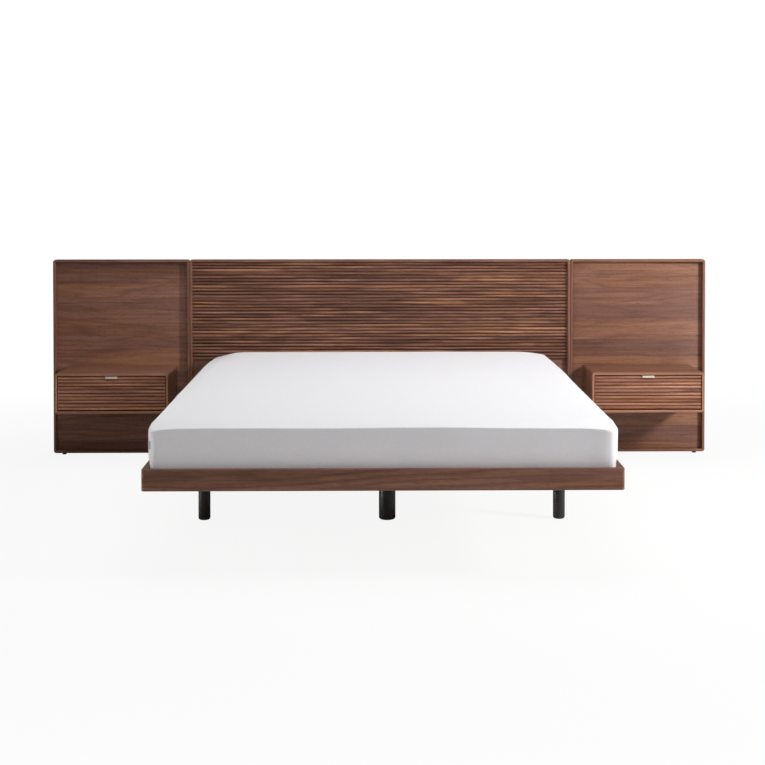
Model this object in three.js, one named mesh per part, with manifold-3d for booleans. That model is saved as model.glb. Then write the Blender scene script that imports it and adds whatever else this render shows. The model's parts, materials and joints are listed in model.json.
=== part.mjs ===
// A low walnut platform bed. Its headboard is three framed panels in a row, the middle one reeded,
// and a bedside case with one drawer hangs on each outer panel.
// Millimetres: +X across the bed, +Y towards the headboard, +Z up.
// The origin is on the floor, under the middle of the whole.

import * as THREE from "three";
import { mergeVertices } from "three/addons/utils/BufferGeometryUtils.js";
import Module from "manifold-3d";

const wasm = await Module();
wasm.setup();

// ---- Driving dimensions --------------------------------------------------------------------------

// Clearance left between two pieces that touch.
const gap = 0.3;

// Whole bed
const overallLength = 2140;
const overallWidth = 3117;

// Headboard
const headboardHeight = 932;
const headboardDepth = 40;
const centrePanelWidth = 1820;
const panelLift = 8;
const edgeFace = 12.5;
const edgeCorner = 12;
const edgeRebate = 6;
const panelRecess = 22;
const panelThickness = 16;
const panelFootRadius = 10;
const panelFootInset = 47;

// Reeding, shared by the headboard and the drawer fronts
const reedPitch = 15.6;
const reedGroove = 1.4;
const reedHeight = 6.2;
const reedingRecess = 12;
const plainBoardTop = 450;
const drawerReeds = 10;

// Bed frame
const frameShoulder = 107.5;
const railThickness = 22;
const railHeight = 71;
const railBottom = 293;
const railCorner = 12;
const railEase = 1.5;

// Slats and what carries them
const ledgeSize = 25;
const ledgeDrop = 19;
const ledgeSetback = 96;
const centreBeamWidth = 40;
const crossBeamWidth = 60;
const crossBeamHeight = 38;
const crossBeamInset = 3;
const slatCount = 10;
const slatWidth = 120;
const slatThickness = 16;
const slatEndPlay = 2;
const slatHeadSetback = 40;

// Legs
const sideLegRadius = 23;
const centreLegRadius = 32;
const legFootRounding = 8;
const sideLegInset = 83;
const centreLegOffset = 20;
const frontLegRow = 828;
const rearLegSetback = 440;

// Mattress
const mattressThickness = 189;
const mattressCorner = 90;
const mattressEase = 26;
const mattressSidePlay = 3;
const mattressFootPlay = 4;
const mattressHeadPlay = 41.7;

// Bedside cases
const caseProud = 268;
const caseBottom = 241;
const caseInboard = 63.2;
const caseOutboard = 67;
const caseWall = 11;
const caseCorner = 11;
const caseRebate = 5;
const caseBackThickness = 9;

// Drawers
const drawerReveal = 3;
const drawerInset = 4;
const drawerFrontCore = 12;
const drawerBoxWall = 12;
const drawerBoxRise = 10.5;
const drawerBoxHeadroom = 31.5;
const drawerBackPlay = 20;
const drawerBottomThickness = 6;
const drawerBottomRebate = 6;

// Pull on the top edge of each drawer front
const pullWidth = 55;
const pullLip = 9;
const pullPlate = 14;
const pullReach = 8;
const pullThickness = 1.5;

// Drawer runners
const runnerSpace = 12.7;
const runnerHeight = 40;
const runnerMetal = 1.2;
const runnerPlay = 1.8;
const runnerBackPlay = 0.8;
const fixedRunnerDepth = 9;
const middleRunnerDepth = 8;
const drawerRunnerDepth = 7.4;

// ---- Planes and heights worked out from them -----------------------------------------------------

const footPlane = -overallLength / 2;
const wallPlane = overallLength / 2;
const headboardFront = wallPlane - headboardDepth;
const panelFront = headboardFront + panelRecess;
const sidePanelWidth = (overallWidth - centrePanelWidth) / 2 - gap;
const sidePanelCentre = overallWidth / 2 - sidePanelWidth / 2;

const headboardReeds = Math.floor((headboardHeight - edgeFace - gap - plainBoardTop) / reedPitch);

const frameWidth = centrePanelWidth - 2 * (edgeFace + frameShoulder);
const headRailBack = panelFront - gap;
const railInsideFoot = footPlane + railThickness;
const railInsideHead = headRailBack - railThickness;
const frameInsideWidth = frameWidth - 2 * railThickness;

const ledgeBottom = railBottom - ledgeDrop;
const ledgeTop = ledgeBottom + ledgeSize;
const crossBeamBottom = ledgeBottom - gap - crossBeamHeight;
const slatBottom = ledgeTop + gap;
const mattressBottom = slatBottom + slatThickness + gap;
const mattressWidth = frameInsideWidth - 2 * mattressSidePlay;
const mattressLength = railInsideHead - railInsideFoot - mattressFootPlay - mattressHeadPlay;

const caseWidth = sidePanelWidth - caseInboard - caseOutboard;
const caseHeight = drawerReeds * reedPitch + 2 * drawerReveal + 2 * caseWall;
const caseDepth = caseProud + panelRecess - gap;
const caseFront = headboardFront - caseProud;
const caseCentre = centrePanelWidth / 2 + gap + caseInboard + caseWidth / 2;
const caseInsideWidth = caseWidth - 2 * caseWall;

const drawerFrontWidth = caseInsideWidth - 2 * drawerReveal;
const drawerFrontBottom = caseBottom + caseWall + drawerReveal;
const drawerFrontTop = drawerFrontBottom + drawerReeds * reedPitch;
const drawerFrontFace = caseFront + drawerInset;
const drawerBoxFront = drawerFrontFace + reedHeight + drawerFrontCore + gap;
const drawerBoxWidth = caseInsideWidth - 2 * runnerSpace;
const drawerBoxBottom = caseBottom + caseWall + drawerBoxRise;
const drawerBoxHeight = caseHeight - 2 * caseWall - drawerBoxRise - drawerBoxHeadroom;
const drawerBoxBack = caseFront + caseDepth - caseBackThickness - drawerBackPlay;
const drawerBoxLength = drawerBoxBack - drawerBoxFront;

// ---- Finishes ------------------------------------------------------------------------------------

const finishes = {
  walnut: { color: 0x7b523c, roughness: 0.5, metalness: 0 },
  walnutReeds: { color: 0x80553d, roughness: 0.48, metalness: 0 },
  timber: { color: 0xc9ab7d, roughness: 0.7, metalness: 0 },
  blackLeg: { color: 0x1c1a1a, roughness: 0.4, metalness: 0.2 },
  champagne: { color: 0xd9cdb8, roughness: 0.3, metalness: 1 },
  zincSteel: { color: 0xb4b6b8, roughness: 0.35, metalness: 1 },
  glide: { color: 0x222120, roughness: 0.6, metalness: 0 },
  cover: { color: 0xeeecf0, roughness: 0.9, metalness: 0 },
};

// ---- Shapes --------------------------------------------------------------------------------------

const axisX = new THREE.Vector3(1, 0, 0);
const axisY = new THREE.Vector3(0, 1, 0);
const axisZ = new THREE.Vector3(0, 0, 1);
const quarterTurn = Math.PI / 2;

function cornerArc(centreX, centreY, radius, startAngle, steps = 5) {
  if (radius === 0) {
    return [new THREE.Vector2(centreX, centreY)];
  }
  return Array.from({ length: steps + 1 }, (_, step) => {
    const angle = startAngle + (step / steps) * quarterTurn;
    return new THREE.Vector2(centreX + radius * Math.cos(angle), centreY + radius * Math.sin(angle));
  });
}

// A rectangle about the origin. near is the radius of its two corners at -Y, far of the two at +Y.
function rectangle(width, height, near = 0, far = near) {
  const x = width / 2;
  const y = height / 2;
  return [
    ...cornerArc(x - near, near - y, near, -quarterTurn),
    ...cornerArc(x - far, y - far, far, 0),
    ...cornerArc(far - x, y - far, far, quarterTurn),
    ...cornerArc(near - x, near - y, near, 2 * quarterTurn),
  ];
}

// Pushes an outline up from z = 0. ease is a small chamfer round both ends.
function extrude(outline, length, ease = 0, hole = null) {
  const shape = new THREE.Shape(outline);
  if (hole) {
    shape.holes.push(new THREE.Path(hole));
  }
  const geometry = new THREE.ExtrudeGeometry(shape, {
    depth: length - 2 * ease,
    bevelEnabled: ease > 0,
    bevelThickness: ease,
    bevelSize: ease,
    bevelOffset: -ease,
    bevelSegments: 1,
  });
  return geometry.translate(0, 0, ease);
}

// Turns an upright extrusion to run along Y from y = 0, so that its outline faces the foot of the bed.
function layAlongY(geometry, length) {
  return geometry.rotateX(quarterTurn).translate(0, length, 0);
}

// Turns an extrusion to run along X about its middle. The outline's X becomes Y, and its Y becomes Z.
function layAlongX(geometry, length) {
  geometry.translate(0, 0, -length / 2);
  return geometry.applyMatrix4(new THREE.Matrix4().makeBasis(axisY, axisZ, axisX));
}

function barAlongY(width, height, length, corner = 2) {
  return layAlongY(extrude(rectangle(width, height, corner), length), length);
}

function barAlongX(depth, height, length, corner = 2) {
  return layAlongX(extrude(rectangle(depth, height, corner), length), length);
}

function toSolid(geometry) {
  const bare = geometry.clone();
  bare.deleteAttribute("normal");
  bare.deleteAttribute("uv");
  const merged = mergeVertices(bare);
  return new wasm.Manifold(
    new wasm.Mesh({
      numProp: 3,
      vertProperties: new Float32Array(merged.attributes.position.array),
      triVerts: new Uint32Array(merged.index.array),
    }),
  );
}

function subtract(body, cutter) {
  const mesh = toSolid(body).subtract(toSolid(cutter)).getMesh();
  const geometry = new THREE.BufferGeometry();
  geometry.setAttribute("position", new THREE.BufferAttribute(mesh.vertProperties, 3));
  geometry.setIndex(new THREE.BufferAttribute(mesh.triVerts, 1));
  return geometry;
}

// A four-sided frame about the origin, pushed up from z = 0, with a rebate round its inside at z = 0.
function rebatedFrame({ width, height, length, wall, corner, rebate, rebateDepth, ease }) {
  const insideWidth = width - 2 * wall;
  const insideHeight = height - 2 * wall;
  const hole = rectangle(insideWidth, insideHeight);
  const frame = extrude(rectangle(width, height, corner), length, ease, hole);
  const overrun = 5;
  const cutter = new THREE.BoxGeometry(
    insideWidth + 2 * rebate,
    insideHeight + 2 * rebate,
    rebateDepth + overrun,
  );
  cutter.translate(0, 0, (rebateDepth - overrun) / 2);
  return subtract(frame, cutter);
}

// The section of a reeded board: reeds face -X with their crests on x = 0, and rise from y = 0.
function reededSection(reeds, core) {
  const arcSteps = 6;
  const halfReed = (reedPitch - reedGroove) / 2;
  const section = [new THREE.Vector2(reedHeight + core, 0), new THREE.Vector2(reedHeight, 0)];
  for (let reed = 0; reed < reeds; reed += 1) {
    const middle = (reed + 0.5) * reedPitch;
    for (let step = 0; step <= arcSteps; step += 1) {
      const angle = (step / arcSteps) * Math.PI;
      const x = reedHeight * (1 - Math.sin(angle));
      section.push(new THREE.Vector2(x, middle - halfReed * Math.cos(angle)));
    }
  }
  section.push(new THREE.Vector2(reedHeight, reeds * reedPitch));
  section.push(new THREE.Vector2(reedHeight + core, reeds * reedPitch));
  return section;
}

// A round post from z = 0, with a rounded foot and a plain flat top.
function post(radius, height, rounding, segments = 24) {
  const profile = [
    new THREE.Vector2(0, 0),
    ...cornerArc(radius - rounding, rounding, rounding, -quarterTurn, 4),
    new THREE.Vector2(radius, height),
    new THREE.Vector2(0, height),
  ];
  return new THREE.LatheGeometry(profile, segments).rotateX(quarterTurn);
}

// A runner's C section, along Y from y = 0, with its back on x = 0 and its lips reaching towards facing.
function channel(height, depth, length, facing) {
  const z = height / 2;
  const section = [
    new THREE.Vector2(0, -z),
    new THREE.Vector2(depth * facing, -z),
    new THREE.Vector2(depth * facing, runnerMetal - z),
    new THREE.Vector2(runnerMetal * facing, runnerMetal - z),
    new THREE.Vector2(runnerMetal * facing, z - runnerMetal),
    new THREE.Vector2(depth * facing, z - runnerMetal),
    new THREE.Vector2(depth * facing, z),
    new THREE.Vector2(0, z),
  ];
  return layAlongY(extrude(section, length), length);
}

// ---- Scene ---------------------------------------------------------------------------------------

const group = new THREE.Group();

function place(name, geometry, finish, x, y, z) {
  const mesh = new THREE.Mesh(geometry, new THREE.MeshStandardMaterial(finishes[finish]));
  mesh.name = name;
  mesh.position.set(x, y, z);
  group.add(mesh);
}

// Headboard: three framed panels side by side.
function addPanel(side, width, centre) {
  const height = headboardHeight - panelLift;
  const middle = panelLift + height / 2;
  const frame = rebatedFrame({
    width,
    height,
    length: headboardDepth,
    wall: edgeFace,
    corner: edgeCorner,
    rebate: edgeRebate,
    rebateDepth: headboardDepth - panelRecess + gap,
    ease: railEase,
  });
  const inset = 2 * (edgeFace - edgeRebate + gap);
  const board = extrude(rectangle(width - inset, height - inset), panelThickness);
  place(`${side}_edge_frame`, layAlongY(frame, headboardDepth), "walnut", centre, headboardFront, middle);
  place(`${side}_panel`, layAlongY(board, panelThickness), "walnut", centre, panelFront, middle);
}

function addCentreReeding() {
  const width = centrePanelWidth - 2 * (edgeFace + gap);
  const core = panelRecess - reedingRecess - reedHeight - gap;
  const reeding = layAlongX(extrude(reededSection(headboardReeds, core), width), width);
  const bottom = headboardHeight - edgeFace - gap - headboardReeds * reedPitch;
  place("centre_reeding", reeding, "walnutReeds", 0, headboardFront + reedingRecess, bottom);
}

function addPanelFeet() {
  const y = headboardFront + headboardDepth / 2;
  const outer = overallWidth / 2 - panelFootInset;
  for (const [side, x] of Object.entries({ left: -outer, centre: 0, right: outer })) {
    place(`${side}_panel_foot`, post(panelFootRadius, panelLift - gap, 1, 20), "glide", x, y, 0);
  }
}

// Bed frame: four rails round the slats.
function addRails() {
  const footRail = extrude(rectangle(frameWidth, railThickness, railCorner, 2), railHeight, railEase);
  const headRail = extrude(rectangle(frameWidth, railThickness, 2), railHeight, railEase);
  const railMiddle = railBottom + railHeight / 2;
  place("foot_rail", footRail, "walnut", 0, footPlane + railThickness / 2, railBottom);
  place("head_rail", headRail, "walnut", 0, headRailBack - railThickness / 2, railBottom);
  const length = railInsideHead - railInsideFoot - 2 * gap;
  const x = (frameWidth - railThickness) / 2;
  for (const [side, sign] of Object.entries({ left: -1, right: 1 })) {
    const sideRail = barAlongY(railThickness, railHeight, length);
    place(`side_rail_${side}`, sideRail, "walnut", sign * x, railInsideFoot + gap, railMiddle);
  }
}

// Ledges on the side rails and a beam down the middle carry the slats.
function addSlatSupports() {
  const start = footPlane + ledgeSetback;
  const length = railInsideHead - gap - start;
  const middle = ledgeBottom + ledgeSize / 2;
  const x = frameInsideWidth / 2 - gap - ledgeSize / 2;
  for (const [side, sign] of Object.entries({ left: -1, right: 1 })) {
    place(`slat_ledge_${side}`, barAlongY(ledgeSize, ledgeSize, length), "timber", sign * x, start, middle);
  }
  place("centre_beam", barAlongY(centreBeamWidth, ledgeSize, length), "timber", 0, start, middle);
}

function addSlats() {
  const first = footPlane + ledgeSetback;
  const last = railInsideHead - slatHeadSetback - slatWidth;
  const length = frameInsideWidth - 2 * slatEndPlay;
  for (let slat = 0; slat < slatCount; slat += 1) {
    const y = first + ((last - first) * slat) / (slatCount - 1) + slatWidth / 2;
    const number = String(slat + 1).padStart(2, "0");
    const board = barAlongX(slatWidth, slatThickness, length, 3);
    place(`slat_${number}`, board, "timber", 0, y, slatBottom + slatThickness / 2);
  }
}

// Two cross beams stand on the legs.
function addLegs() {
  const beamLength = frameInsideWidth - 2 * crossBeamInset;
  const legHeight = crossBeamBottom - gap;
  const legSpread = frameInsideWidth / 2 - sideLegInset;
  const legRows = { front: footPlane + frontLegRow, rear: wallPlane - rearLegSetback };
  for (const [row, y] of Object.entries(legRows)) {
    const beam = barAlongX(crossBeamWidth, crossBeamHeight, beamLength, 3);
    place(`cross_beam_${row}`, beam, "timber", 0, y, crossBeamBottom + crossBeamHeight / 2);
    for (const [side, sign] of Object.entries({ left: -1, right: 1 })) {
      const leg = post(sideLegRadius, legHeight, legFootRounding);
      place(`leg_${row}_${side}`, leg, "blackLeg", sign * legSpread, y, 0);
    }
    const centreLeg = post(centreLegRadius, legHeight, legFootRounding);
    place(`leg_${row}_centre`, centreLeg, "blackLeg", centreLegOffset, y, 0);
  }
}

function addMattress() {
  const plan = rectangle(mattressWidth, mattressLength, mattressCorner);
  const y = railInsideFoot + mattressFootPlay + mattressLength / 2;
  place("mattress", extrude(plan, mattressThickness, mattressEase), "cover", 0, y, mattressBottom);
}

// Bedside case: a wrap of one section with a back let into it.
function addCase(side, centre) {
  const shell = rebatedFrame({
    width: caseWidth,
    height: caseHeight,
    length: caseDepth,
    wall: caseWall,
    corner: caseCorner,
    rebate: caseRebate,
    rebateDepth: caseBackThickness + gap,
    ease: 1,
  });
  const inset = 2 * (caseWall - caseRebate + gap);
  const back = extrude(rectangle(caseWidth - inset, caseHeight - inset), caseBackThickness);
  const middle = caseBottom + caseHeight / 2;
  const backPlane = caseFront + caseDepth - caseBackThickness;
  place(`${side}_case_shell`, layAlongY(shell, caseDepth), "walnut", centre, caseFront, middle);
  place(`${side}_case_back`, layAlongY(back, caseBackThickness), "walnut", centre, backPlane, middle);
}

function addDrawer(side, centre) {
  const section = reededSection(drawerReeds, drawerFrontCore);
  const front = layAlongX(extrude(section, drawerFrontWidth), drawerFrontWidth);
  const overrun = 5;
  const notch = new THREE.BoxGeometry(
    pullWidth + 2 * gap,
    pullPlate + gap + overrun,
    pullThickness + gap + overrun,
  );
  notch.translate(
    0,
    (pullPlate + gap - overrun) / 2,
    drawerReeds * reedPitch + (overrun - pullThickness - gap) / 2,
  );
  const notched = subtract(front, notch);
  place(`${side}_drawer_front`, notched, "walnutReeds", centre, drawerFrontFace, drawerFrontBottom);

  const box = rebatedFrame({
    width: drawerBoxWidth,
    height: drawerBoxLength,
    length: drawerBoxHeight,
    wall: drawerBoxWall,
    corner: 0,
    rebate: drawerBottomRebate,
    rebateDepth: drawerBottomThickness + gap,
    ease: 0,
  });
  const boxMiddle = drawerBoxFront + drawerBoxLength / 2;
  const inset = 2 * (drawerBoxWall - drawerBottomRebate + gap);
  const floorPlan = rectangle(drawerBoxWidth - inset, drawerBoxLength - inset);
  const floor = extrude(floorPlan, drawerBottomThickness);
  place(`${side}_drawer_box`, box, "timber", centre, boxMiddle, drawerBoxBottom);
  place(`${side}_drawer_bottom`, floor, "timber", centre, boxMiddle, drawerBoxBottom);
}

// The pull is a bent strip: its plate lies in the notch and reaches out, and its lip hangs before the reeds.
function addPull(side, centre) {
  const section = [
    new THREE.Vector2(-pullReach, 0),
    new THREE.Vector2(pullPlate, 0),
    new THREE.Vector2(pullPlate, -pullThickness),
    new THREE.Vector2(pullThickness - pullReach, -pullThickness),
    new THREE.Vector2(pullThickness - pullReach, -pullLip),
    new THREE.Vector2(-pullReach, -pullLip),
  ];
  const pull = layAlongX(extrude(section, pullWidth), pullWidth);
  place(`${side}_pull`, pull, "champagne", centre, drawerFrontFace, drawerFrontTop);
}

// Three nested channels on each side of a drawer: fixed to the case, middle, and on the drawer.
function addRunners(side, centre) {
  const middleHeight = runnerHeight - 2 * (runnerMetal + runnerPlay);
  const drawerHeight = middleHeight - 2 * (runnerMetal + runnerPlay);
  const z = drawerBoxBottom + drawerBoxHeight / 2;
  const walls = { west: -1, east: 1 };
  for (const [wall, sign] of Object.entries(walls)) {
    const wallX = centre + (sign * caseInsideWidth) / 2;
    const inwards = -sign;
    const fixed = channel(runnerHeight, fixedRunnerDepth, drawerBoxLength, inwards);
    const middle = channel(middleHeight, middleRunnerDepth, drawerBoxLength, inwards);
    const moving = channel(drawerHeight, drawerRunnerDepth, drawerBoxLength, sign);
    const fixedX = wallX + inwards * gap;
    const middleX = fixedX + inwards * (runnerMetal + runnerBackPlay);
    const movingX = wallX + inwards * (runnerSpace - gap);
    place(`${side}_runner_fixed_${wall}`, fixed, "zincSteel", fixedX, drawerBoxFront, z);
    place(`${side}_runner_middle_${wall}`, middle, "zincSteel", middleX, drawerBoxFront, z);
    place(`${side}_runner_drawer_${wall}`, moving, "zincSteel", movingX, drawerBoxFront, z);
  }
}

addPanel("centre", centrePanelWidth, 0);
addCentreReeding();
addPanelFeet();
addRails();
addSlatSupports();
addSlats();
addLegs();
addMattress();
for (const [side, sign] of Object.entries({ left: -1, right: 1 })) {
  addPanel(side, sidePanelWidth, sign * sidePanelCentre);
  addCase(side, sign * caseCentre);
  addDrawer(side, sign * caseCentre);
  addPull(side, sign * caseCentre);
  addRunners(side, sign * caseCentre);
}

export default group;
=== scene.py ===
# %% [markdown]
# # A walnut platform bed with a reeded headboard and two hanging bedside cases
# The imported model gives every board, leg and runner its size and place. This script dresses it: arrises
# are eased, boards get grain that runs the right way, the reeding is rebuilt at full fineness, and the
# mattress becomes a stuffed core in a stretched cover. Work is in metres, +X across the bed, +Y towards
# the headboard and +Z up.

import json
import math

import bmesh
import bpy
import numpy as np
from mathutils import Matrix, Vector, noise
from mathutils.bvhtree import BVHTree

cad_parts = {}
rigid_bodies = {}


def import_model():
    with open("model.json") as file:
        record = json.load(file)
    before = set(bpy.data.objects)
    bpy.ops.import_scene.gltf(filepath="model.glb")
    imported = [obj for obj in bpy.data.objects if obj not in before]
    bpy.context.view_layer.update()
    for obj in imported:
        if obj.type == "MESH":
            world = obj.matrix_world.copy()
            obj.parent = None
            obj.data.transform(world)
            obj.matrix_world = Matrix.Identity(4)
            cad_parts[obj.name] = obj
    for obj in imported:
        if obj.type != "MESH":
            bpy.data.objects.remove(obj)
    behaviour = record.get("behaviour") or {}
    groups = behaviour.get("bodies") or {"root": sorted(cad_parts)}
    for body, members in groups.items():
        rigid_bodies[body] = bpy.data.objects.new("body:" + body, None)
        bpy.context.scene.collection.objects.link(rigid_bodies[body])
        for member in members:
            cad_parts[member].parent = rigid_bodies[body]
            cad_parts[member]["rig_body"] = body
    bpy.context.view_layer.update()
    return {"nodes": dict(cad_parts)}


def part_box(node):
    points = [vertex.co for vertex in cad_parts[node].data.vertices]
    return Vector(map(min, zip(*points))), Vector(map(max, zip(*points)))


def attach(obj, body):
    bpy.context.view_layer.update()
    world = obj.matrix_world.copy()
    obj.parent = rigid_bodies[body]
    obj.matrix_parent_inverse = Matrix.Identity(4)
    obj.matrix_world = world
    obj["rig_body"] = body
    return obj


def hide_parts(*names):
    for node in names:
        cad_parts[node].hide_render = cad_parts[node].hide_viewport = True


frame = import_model()
MM = 0.001
scene = bpy.context.scene


def add_object(name, data):
    """A new object in the scene."""
    made = bpy.data.objects.new(name, data)
    scene.collection.objects.link(made)
    return made


# %% [markdown]
# ## Camera, floor and light
# A bed is pictured from just beyond its foot, at about the height of a standing person's chest, with a
# long lens so that the two ends keep their proportions. The camera is nearly level and the frame is
# slid down instead, which keeps the uprights upright. The light is a wide soft box overhead, a small
# strong one at the right, which brightens the right half and rakes across the reeds, a weak one in
# front of the foot, and a narrow low one that lifts the left side of the mattress near its foot. The
# floor is pale, and the camera sees it mostly as an even white glow, so its shadows are faint.

# %% Camera
CAMERA_PLACE = (-0.0335, -5.5391, 1.2949)
CAMERA_TILT = -0.02
CAMERA_TURN = -0.015
CAMERA_LENS = 64.77
CAMERA_SHIFT = (-0.0149, -0.2240)

camera_data = bpy.data.cameras.new("camera")
camera_data.sensor_width = 36
camera_data.lens = CAMERA_LENS
camera_data.shift_x, camera_data.shift_y = CAMERA_SHIFT
camera = add_object("camera", camera_data)
camera.location = CAMERA_PLACE
camera.rotation_euler = (math.pi / 2 + CAMERA_TILT, 0, CAMERA_TURN)
scene.camera = camera
scene.view_settings.view_transform = "Standard"
print("camera lens", CAMERA_LENS, "mm, slid by", CAMERA_SHIFT)

# %% Helpers for node trees
WHITE = (1, 1, 1, 1)


def feed(tree, node, inputs):
    """Sets a node's inputs. Each is given a plain value or another node's output."""
    for key, value in inputs.items():
        if isinstance(value, bpy.types.NodeSocket):
            tree.links.new(value, node.inputs[key])
        else:
            node.inputs[key].default_value = value
    return node


def put(tree, kind, inputs=None, **settings):
    """One new node."""
    made = tree.nodes.new(kind)
    for key, value in settings.items():
        setattr(made, key, value)
    return feed(tree, made, inputs or {})


def calc(tree, operation, *terms):
    """The output of one Math node."""
    return put(tree, "ShaderNodeMath", dict(enumerate(terms)), operation=operation).outputs[0]


def remap(tree, value, low, high, new_low, new_high, **settings):
    """Carries a value from one range into another, and stops at its ends."""
    inputs = {0: value, 1: low, 2: high, 3: new_low, 4: new_high}
    return put(tree, "ShaderNodeMapRange", inputs, **settings).outputs[0]


def blend_colours(tree, kind, amount, under, over):
    """The output of one colour Mix node."""
    mixer = put(tree, "ShaderNodeMix", data_type="RGBA", blend_type=kind)
    return feed(tree, mixer, {0: amount, 6: under, 7: over}).outputs[2]


def stretched_noise(tree, where, scales, detail=2.0, rough=0.5, twist=0.0):
    """Noise with its own fineness, in cells a metre, along each axis of a place."""
    scaled = put(tree, "ShaderNodeVectorMath", {0: where, 1: scales}, operation="MULTIPLY")
    inputs = {"Vector": scaled.outputs[0], "Scale": 1.0, "Detail": detail, "Roughness": rough,
              "Distortion": twist}
    return put(tree, "ShaderNodeTexNoise", inputs).outputs[0]


def ramp(tree, amount, stops):
    """A colour ramp from (place, colour) pairs."""
    made = put(tree, "ShaderNodeValToRGB", {0: amount})
    while len(made.color_ramp.elements) < len(stops):
        made.color_ramp.elements.new(0.5)
    for element, (place, colour) in zip(made.color_ramp.elements, stops):
        element.position = place
        element.color = (*colour, 1)
    return made.outputs[0]


def new_material(name, **values):
    """A material with one Principled shader, its even values set on the shader's own sockets."""
    material = bpy.data.materials.new(name)
    material.use_nodes = True
    tree = material.node_tree
    shader = tree.nodes["Principled BSDF"]
    feed(tree, shader, {socket.replace("_", " "): value for socket, value in values.items()})
    return material, tree, shader


def add_bump(tree, shader, height, strength, distance):
    """Raises a surface by a Bump node, on top of the bumps that it has already."""
    made = put(tree, "ShaderNodeBump", {"Strength": strength, "Distance": distance, "Height": height})
    normal = shader.inputs["Normal"]
    if normal.is_linked:
        tree.links.new(normal.links[0].from_socket, made.inputs["Normal"])
    tree.links.new(made.outputs[0], normal)


print("node helpers are ready")

# %% Floor and light
# Each light: its name, place, aim, width and height, power in watts and spread in degrees.
LIGHTS = (
    ("overhead", (0.1, 0.0, 3.6), (0.1, 0.02, 0), 3.4, 3.2, 73, 180),
    ("key", (3.6, -1.35, 1.95), (0.4, 1.0, 0.55), 0.6, 0.6, 130, 180),
    ("front", (-0.4, -5.3, 2.2), (-0.4, 0, 0.4), 1.6, 1.2, 30, 180),
    ("left_low", (-3.4, -0.8, 0.44), (-0.76, -0.66, 0.44), 0.5, 0.3, 1.6, 36),
)
# The sky lights the bed weakly, and the camera sees it as plain white.
SKY_LIGHT = 0.15
SKY_SEEN = 1.05
FLOOR_REACH = 30
FLOOR_SINK = 0.5 * MM
FLOOR_COLOUR = (0.72, 0.71, 0.70, 1)
FLOOR_GLOW = 1.02
GLOW_SPREAD = (0.42, 0.5, 0)
GLOW_NEAR, GLOW_FAR = 0.75, 2.2
GLOW_SHARE = 0.88  # of what the camera sees of the floor near the bed


def add_light(name, place, aim, width, height, power, spread):
    """A rectangular soft box that faces its aim."""
    data = bpy.data.lights.new(name, "AREA")
    data.shape = "RECTANGLE"
    data.size, data.size_y = width, height
    data.energy = power
    data.spread = math.radians(spread)
    lamp = add_object(name, data)
    lamp.location = place
    lamp.visible_camera = False
    lamp.rotation_euler = (Vector(aim) - Vector(place)).to_track_quat("-Z", "Y").to_euler()


for light in LIGHTS:
    add_light(*light)

world = bpy.data.worlds.new("studio")
world.use_nodes = True
scene.world = world
tree = world.node_tree
sky = feed(tree, tree.nodes["Background"], {"Color": WHITE, "Strength": SKY_LIGHT})
white = put(tree, "ShaderNodeBackground", {"Color": WHITE, "Strength": SKY_SEEN})
seen = put(tree, "ShaderNodeLightPath").outputs["Is Camera Ray"]
choice = put(tree, "ShaderNodeMixShader", {0: seen, 1: sky.outputs[0], 2: white.outputs[0]})
feed(tree, tree.nodes["World Output"], {"Surface": choice.outputs[0]})


def make_floor():
    """A pale floor. To the camera it is mostly white glow, and nothing else well away from the bed."""
    mesh = bpy.data.meshes.new("floor")
    signs = ((-1, -1), (1, -1), (1, 1), (-1, 1))
    mesh.from_pydata([(x * FLOOR_REACH, y * FLOOR_REACH, 0) for x, y in signs], [], [(0, 1, 2, 3)])
    floor = add_object("floor", mesh)
    floor.location.z = -FLOOR_SINK
    material, tree, shader = new_material("pale_floor", Roughness=0.9, Base_Color=FLOOR_COLOUR)
    place = put(tree, "ShaderNodeTexCoord").outputs["Object"]
    scaled = put(tree, "ShaderNodeVectorMath", {0: place, 1: GLOW_SPREAD}, operation="MULTIPLY")
    far = put(tree, "ShaderNodeVectorMath", {0: scaled.outputs[0]}, operation="LENGTH").outputs["Value"]
    fade = remap(tree, far, GLOW_NEAR, GLOW_FAR, GLOW_SHARE, 1.0, interpolation_type="SMOOTHSTEP")
    seen = put(tree, "ShaderNodeLightPath").outputs["Is Camera Ray"]
    share = calc(tree, "MULTIPLY", fade, seen)
    glow = put(tree, "ShaderNodeEmission", {"Color": WHITE, "Strength": FLOOR_GLOW})
    mixed = put(tree, "ShaderNodeMixShader", {0: share, 1: shader.outputs[0], 2: glow.outputs[0]})
    feed(tree, tree.nodes["Material Output"], {"Surface": mixed.outputs[0]})
    mesh.materials.append(material)


make_floor()
print("camera, lights and floor are in place")

# %% [markdown]
# ## Wood
# Walnut veneer is cut from a log in thin leaves, so its figure is the log's growth rings laid open:
# long streaks where the cut runs across them, arches where it skims along them. A three-dimensional
# pattern stretched along the grain gives both, and it shows end grain where a board is cut across.
# Each board carries two attributes: grain, the place in the board with X along its fibres, and board,
# a number that makes it a little darker or lighter than its neighbour.

# %% Wood finish
# Noise in the figure: cells a metre along and across the fibres, detail, roughness and twist.
BROAD_FIGURE = ((0.9, 8, 8), 2, 0.45, 0.3)
STREAKS = ((2.6, 84, 84), 6, 0.64, 0.5)
WARMTH = ((1.3, 11, 11), 2, 0.5)
FIBRE = ((9, 420, 420), 3, 0.6)
PORES = ((42, 1100, 1100), 0, 0.5)
RING_LINES = 62.0
RING_SHARPNESS = 3.0
BOARD_TONE = 0.10
LEAF_TONE, LEAF_GOLD = 0.30, 0.9
WARM_TINT = (1.05, 1.00, 0.78, 1)
# The colour of the shade painted into the grooves between beads.
PAINTED_GROOVE_SHADE = (0.20, 0.15, 0.13, 1)
PORE_TINT = (0.25, 0.20, 0.18, 1)


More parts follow.
